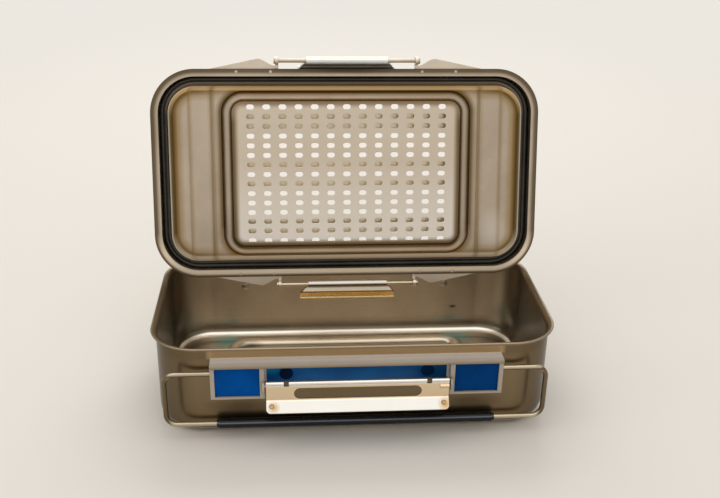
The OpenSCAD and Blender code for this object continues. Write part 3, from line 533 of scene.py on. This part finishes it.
# blue tags, with painted shade making them darker to the right, with the lighter centre plate and its dark
# studs
tagLook = {
    "light": (0.0, 0.092, 0.40), "dark": (0.0, 0.060, 0.28), "cloud": 60,
    "grain": 2200, "speck": 0.12,
    "marks": 0.10, "mark": (0.10, 0.28, 0.55), "scratch": (60, 60, 1500),
    "wear": 0.35, "edge": (0.06, 0.20, 0.46),
    "cornerShade": 0.5, "cornerShadeColor": (0.001, 0.012, 0.05), "cornerShadeReach": 0.002,
    "rough": (0.42, 0.56), "bump": 0.06, "metal": 0.0, "sockets": {"Specular IOR Level": 0.03},
    # painted shade, darker to the right
    "layers": [band((0.0, 0.026, 0.10), ((-0.07, 0.0), (0.07, 0.62)), axis="X")]}
plateLook = {
    **tagLook, "light": (0.002, 0.175, 0.52), "dark": (0.001, 0.085, 0.31), "cloud": 34,
    "rough": (0.30, 0.42), "sockets": {"Specular IOR Level": 0.2},
    "layers": [*tagLook["layers"],
               # painted cyan highlight at the plate's left end
               stain((0.0, 0.33, 0.64), 0.7, at=(-0.0610, -0.0730, 0.0560), size=(0.012, 0.01, 0.007))]}
studLook = {**tagLook, "light": (0.004, 0.020, 0.060), "dark": (0.002, 0.010, 0.032), "wear": 0.15}
finishes["tag_blue"] = finish("tagBlue", tagLook)
finishes["plate_blue"] = finish("plateBlue", plateLook)
finishes["stud_dark"] = finish("studDark", studLook)

# rubber: grips with a painted highlight as a thin pale band near the top, and the gasket, paler along its
# upper side
gripLook = {
    "light": (0.006, 0.0058, 0.0054), "dark": (0.003, 0.003, 0.0028), "cloud": 50,
    "grain": 2600, "speck": 0.15,
    "marks": 0.06, "mark": (0.12, 0.11, 0.10), "scratch": (40, 900, 900),
    "rough": (0.20, 0.36), "bump": 0.16, "metal": 0.0, "sockets": {"Specular IOR Level": 0.3},
    # painted highlight along the grip
    "layers": [band((0.15, 0.18, 0.23), ((0.0140, 0.0), (0.0144, 0.8), (0.0148, 0.8), (0.0152, 0.0)))]}
gasketLook = {
    **gripLook, "light": (0.040, 0.036, 0.029), "dark": (0.018, 0.016, 0.012), "onLid": True,
    "marks": 0.12, "mark": (0.16, 0.14, 0.11), "rough": (0.16, 0.28), "sockets": {"Specular IOR Level": 0.5},
    "layers": [line(sealLoop, (0.24, 0.195, 0.145),
                    ((-0.0002, 0.9), (0.0014, 0.9), (0.0024, 0.0)), upperRun)]}
finishes["grip_rubber"] = finish("gripRubber", gripLook)
finishes["gasket_rubber"] = finish("gasketRubber", gasketLook)
print("finishes made:", len(finishes) + len(ownFinishes))

for part in frame["record"]["subparts"]:
    for holder in nodes[part["node"]].material_slots:
        holder.material = ownFinishes.get(part["node"], finishes[part["material_slot"]])
print("CAD nodes dressed")


def dress(piece, slotName, body, replaced):
    piece.data.materials.append(finishes[slotName])
    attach(piece, body)
    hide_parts(replaced)


# fasteners with domed heads, in pairs where the frame has them
fastener = {"rise": 0.0008, "rivetHead": 0.003, "rivetShank": 0.0016, "rivetSkirt": 0.0002,
            "studHead": 0.0046, "studShank": 0.0015, "studSkirt": 0.0003, "studTail": 0.0024}


def standOff(node):  # how near and how far a node stands from the tray's middle plane
    low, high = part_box(node)
    return sorted((abs(low.y), abs(high.y)))


def pairPlaces(node, head, sign):  # one at each end of the node's box, level with its middle
    low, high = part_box(node)
    return [((x, 0.0, (low.z + high.z) / 2), (0, sign, 0)) for x in (low.x + head, high.x - head)]


def rivetProfile(inner, outer):  # both domes and the shank in one closed profile
    head, shank = fastener["rivetHead"], fastener["rivetShank"]
    back = dome(head, fastener["rise"], fastener["rivetSkirt"], 0.0)
    back[:, 1] = inner - back[:, 1]
    front = dome(head, fastener["rise"], fastener["rivetSkirt"], outer)
    return np.concatenate([back[::-1], [[shank, inner], [shank, outer]], front])


def studProfile(base):  # the tail, then the domed head on the plate
    shank, tail = fastener["studShank"], base - fastener["studTail"]
    front = dome(fastener["studHead"], fastener["rise"], fastener["studSkirt"], base)
    return np.concatenate([[[0.0, tail], [shank, tail], [shank, base]], front])


for side, sign in sides.items():
    near, far = standOff(side + "_rivets")
    profile = rivetProfile(near + fastener["rise"], far - fastener["rise"])
    places = pairPlaces(side + "_rivets", fastener["rivetHead"], sign)
    dress(turnedGroup(side + "DomedRivets", profile, places), "rivet_steel", "tray", side + "_rivets")
    profile = studProfile(standOff(side + "_plate_studs")[1] - fastener["rise"])
    places = pairPlaces(side + "_plate_studs", fastener["studHead"], sign)
    dress(turnedGroup(side + "PlateStuds", profile, places), "stud_dark", "tray", side + "_plate_studs")

# gasket: a round bulb beside a low skirt, carried round the lid edge
gasket = {"centre": 0.02515, "width": 0.006, "depth": 0.0035, "power": 2.6, "bulb": 0.35, "bulbWidth": 0.50,
          "skirt": 0.0013, "steps": 44, "hardAngle": math.radians(70)}


def gasketLoop():
    # section: superellipse |a|^power + |b|^power = 1, its open face sunk by
    # skirt * (1 - exp(-((a - bulb) / bulbWidth)^4)) * |b|
    t = np.linspace(0.0, 2 * math.pi, gasket["steps"], endpoint=False)
    a = np.sign(np.cos(t)) * np.abs(np.cos(t)) ** (2.0 / gasket["power"])
    b = np.sign(np.sin(t)) * np.abs(np.sin(t)) ** (2.0 / gasket["power"])
    away = (a - gasket["bulb"]) / gasket["bulbWidth"]
    dent = np.where(b < 0, gasket["skirt"] * (1 - np.exp(-away ** 4)), 0.0) * np.abs(b)
    middle = lid["height"] - lid["sheet"] - gasket["depth"] / 2
    height = middle + b * gasket["depth"] / 2 + dent
    x, y = roundedLoops(lid["coreX"], lid["coreY"], gasket["centre"] + a * gasket["width"] / 2)
    points = np.stack([x, y, np.broadcast_to(height[:, None], x.shape)], axis=-1)
    piece = meshFrom("bulbGasket", parked(points), gridFaces(*x.shape, wrapRows=True))
    return closeSeams(piece, gasket["hardAngle"])


dress(gasketLoop(), "gasket_rubber", "lid", "lid_gasket")

# grips: a moulded sleeve, a little thicker in the middle and rounded at the ends
grip = {"bore": 0.00178, "crown": 0.0001, "endRound": 0.001, "endDrop": 0.0009, "rings": 81, "steps": 32}


def gripSleeve(name, node):
    # outer radius r(s) = R - crown s^2 - endDrop (1 - sqrt(1 - (1 - e)^2)), where e grows from 0 at an end
    # to 1 at endRound from it
    low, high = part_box(node)
    middle, half = (low + high) / 2, high.x
    s = np.linspace(-1.0, 1.0, grip["rings"])
    e = np.clip((1 - np.abs(s)) * half / grip["endRound"], 0, 1)
    outer = high.z - middle.z - grip["crown"] * s ** 2 - grip["endDrop"] * (1 - np.sqrt(1 - (1 - e) ** 2))
    wall = np.stack([outer, s * half], axis=1)
    profile = np.concatenate([wall, [[grip["bore"], half], [grip["bore"], -half]], wall[:1]])
    return turnedGroup(name, profile, [((0.0, middle.y, middle.z), (1, 0, 0))], grip["steps"])


for side in sides:
    sleeve = gripSleeve(side + "GripSleeve", side + "_handle_grip")
    dress(sleeve, "grip_rubber", side + "_handle", side + "_handle_grip")
print("pieces made")

# floor and backdrop
studio = {"backdrop": (0.84, 0.80, 0.74, 1), "skyLight": (1.0, 0.98, 0.95, 1), "skyPower": 0.58,
          "floor": (0.79, 0.75, 0.69, 1), "floorRough": 0.9, "floorHalf": 6.0,
          "fadeStart": 0.55, "fadeEnd": 1.5}


def seenRays(tree):  # 1 for camera, glossy and transmission rays, 0 for the rays that light the object
    path = tree.nodes.new("ShaderNodeLightPath")
    total = path.outputs["Is Camera Ray"]
    for name in ("Is Glossy Ray", "Is Transmission Ray"):
        plus = tree.nodes.new("ShaderNodeMath")
        plus.operation, plus.use_clamp = "ADD", True
        tree.links.new(total, plus.inputs[0])
        tree.links.new(path.outputs[name], plus.inputs[1])
        total = plus.outputs[0]
    return total


def chooseShader(tree, factor, first, second, target):
    choose = tree.nodes.new("ShaderNodeMixShader")
    tree.links.new(factor, choose.inputs["Fac"])
    tree.links.new(first, choose.inputs[1])
    tree.links.new(second, choose.inputs[2])
    tree.links.new(choose.outputs["Shader"], target)


def floorMaterial():  # far from the object the floor fades into the backdrop's colour, so no horizon shows
    material, tree, shader = newMaterial("paleFloor")
    shader.inputs["Base Color"].default_value = studio["floor"]
    shader.inputs["Roughness"].default_value = studio["floorRough"]
    distance = vectorStep(tree, "LENGTH", tree.nodes.new("ShaderNodeTexCoord").outputs["Object"])
    fade = amountRamp(tree, distance, ((studio["fadeStart"], 0.0), (studio["fadeEnd"], 1.0)))
    fade = mixColor(tree, seenRays(tree), black, fade)
    glow = addNode(tree, "ShaderNodeEmission", Color=studio["backdrop"], Strength=1.0)
    target = tree.nodes["Material Output"].inputs["Surface"]
    chooseShader(tree, fade, shader.outputs["BSDF"], glow.outputs["Emission"], target)
    return material


half = studio["floorHalf"]
corners = np.array([(-half, -half, 0), (half, -half, 0), (half, half, 0), (-half, half, 0)])
floor = meshFrom("paleFloor", corners, np.array([(0, 1, 2, 3)]))
floor.data.materials.append(floorMaterial())

world = bpy.data.worlds.new("studio")
bpy.context.scene.world = world
world.use_nodes = True
sky = world.node_tree
sky.nodes.clear()
seen = addNode(sky, "ShaderNodeBackground", Color=studio["backdrop"], Strength=1.0)
lit = addNode(sky, "ShaderNodeBackground", Color=studio["skyLight"], Strength=studio["skyPower"])
target = sky.nodes.new("ShaderNodeOutputWorld").inputs["Surface"]
chooseShader(sky, seenRays(sky), lit.outputs["Background"], seen.outputs["Background"], target)

# lamps
lamps = {"keyLight": {"at": (-0.15, -0.55, 1.75), "aim": (0, 0, 0.06), "size": 2.3, "power": 11},
         "backLight": {"at": (0.1, 1.35, 1.35), "aim": (0, 0.65, 0.0), "size": 1.0, "power": 11},
         "sideLight": {"at": (-1.5, -0.6, 0.9), "aim": (0, 0, 0.08), "size": 0.8, "power": 3}}


def softbox(name, at, aim, size, power):
    light = bpy.data.lights.new(name, "AREA")
    light.shape, light.size, light.energy = "SQUARE", size, power
    lamp = bpy.data.objects.new(name, light)
    lamp.location = at
    lamp.rotation_euler = (Vector(aim) - Vector(at)).to_track_quat("-Z", "Y").to_euler()
    bpy.context.scene.collection.objects.link(lamp)


for name, lamp in lamps.items():
    softbox(name, **lamp)

# camera at the photograph's place: angles in degrees, focal length in pixels of the image
view = {"azimuth": -4.564, "elevation": 24.603, "roll": 1.131, "distance": 0.697803,
        "target": (0.006027, 0, 0.11027), "focal": 953.926, "imageWidth": 720, "sensor": 36.0,
        "clipStart": 0.01}


def viewAxes(azimuth, elevation, roll):  # right, up and towards the camera, the first two turned by the roll
    level = Vector((math.sin(azimuth), -math.cos(azimuth), 0))
    toward = math.cos(elevation) * level + Vector((0, 0, math.sin(elevation)))
    right = (-toward).cross(Vector((0, 0, 1))).normalized()
    upward = right.cross(-toward)
    rightTilted = math.cos(roll) * right + math.sin(roll) * upward
    upTilted = -math.sin(roll) * right + math.cos(roll) * upward
    return rightTilted, upTilted, toward


axes = viewAxes(*(math.radians(view[key]) for key in ("azimuth", "elevation", "roll")))
camera = bpy.data.cameras.new("photoCamera")
camera.sensor_width = view["sensor"]
camera.lens = view["focal"] / view["imageWidth"] * view["sensor"]
camera.clip_start = view["clipStart"]
cameraObject = bpy.data.objects.new("photoCamera", camera)
place = Matrix(axes).transposed().to_4x4()
place.translation = Vector(view["target"]) + view["distance"] * axes[2]
cameraObject.matrix_world = place
bpy.context.scene.collection.objects.link(cameraObject)
bpy.context.scene.camera = cameraObject
bpy.context.scene.view_settings.view_transform = "Standard"
print("floor, light and camera set")
